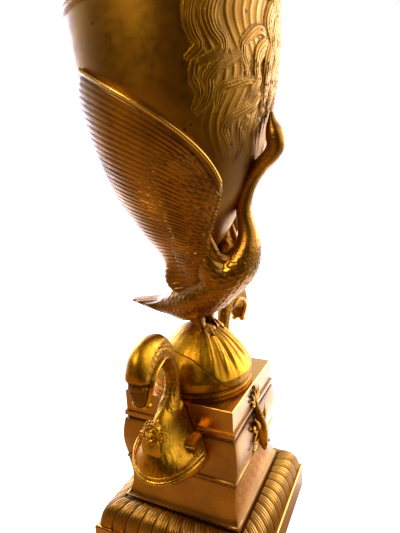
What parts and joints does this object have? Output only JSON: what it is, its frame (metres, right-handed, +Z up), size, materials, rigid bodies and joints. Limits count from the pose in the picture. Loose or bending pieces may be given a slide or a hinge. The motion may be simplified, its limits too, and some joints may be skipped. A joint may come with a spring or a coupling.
{
  "type": "gilt bronze vase",
  "caption": "Egg-shaped gilt bronze vase with a bearded mask, held between the raised wings of a swan on a mound, on a square plinth with galley prows and dolphins.",
  "frame": {"origin": "middle of the foot slab's underside, on the surface the vase stands on", "axes": "+Z up, +X the way the swan faces, the galley prows on the -Y and +Y sides"},
  "size_m": [0.2199, 0.2552, 0.7653],
  "materials": {
    "dark_gilding": "toned gilding, satin, with brown patina",
    "matt_gilding": "matt gilding with burnished high points",
    "worn_gilding": "gilding worn and darkened between the feathers",
    "burnished_gilding": "burnished gilding, bright"
  },
  "bodies": {
    "root": {"foot_slab": "dark_gilding", "leaf_torus": "matt_gilding", "plinth_die": "dark_gilding", "plinth_abacus": "dark_gilding", "mound": "burnished_gilding", "swan": "worn_gilding", "prow_front": "burnished_gilding", "prow_back": "burnished_gilding", "dolphin_right": "burnished_gilding", "dolphin_left": "burnished_gilding", "vase_body": "matt_gilding", "vase_neck": "matt_gilding"}
  },
  "joints": []
}
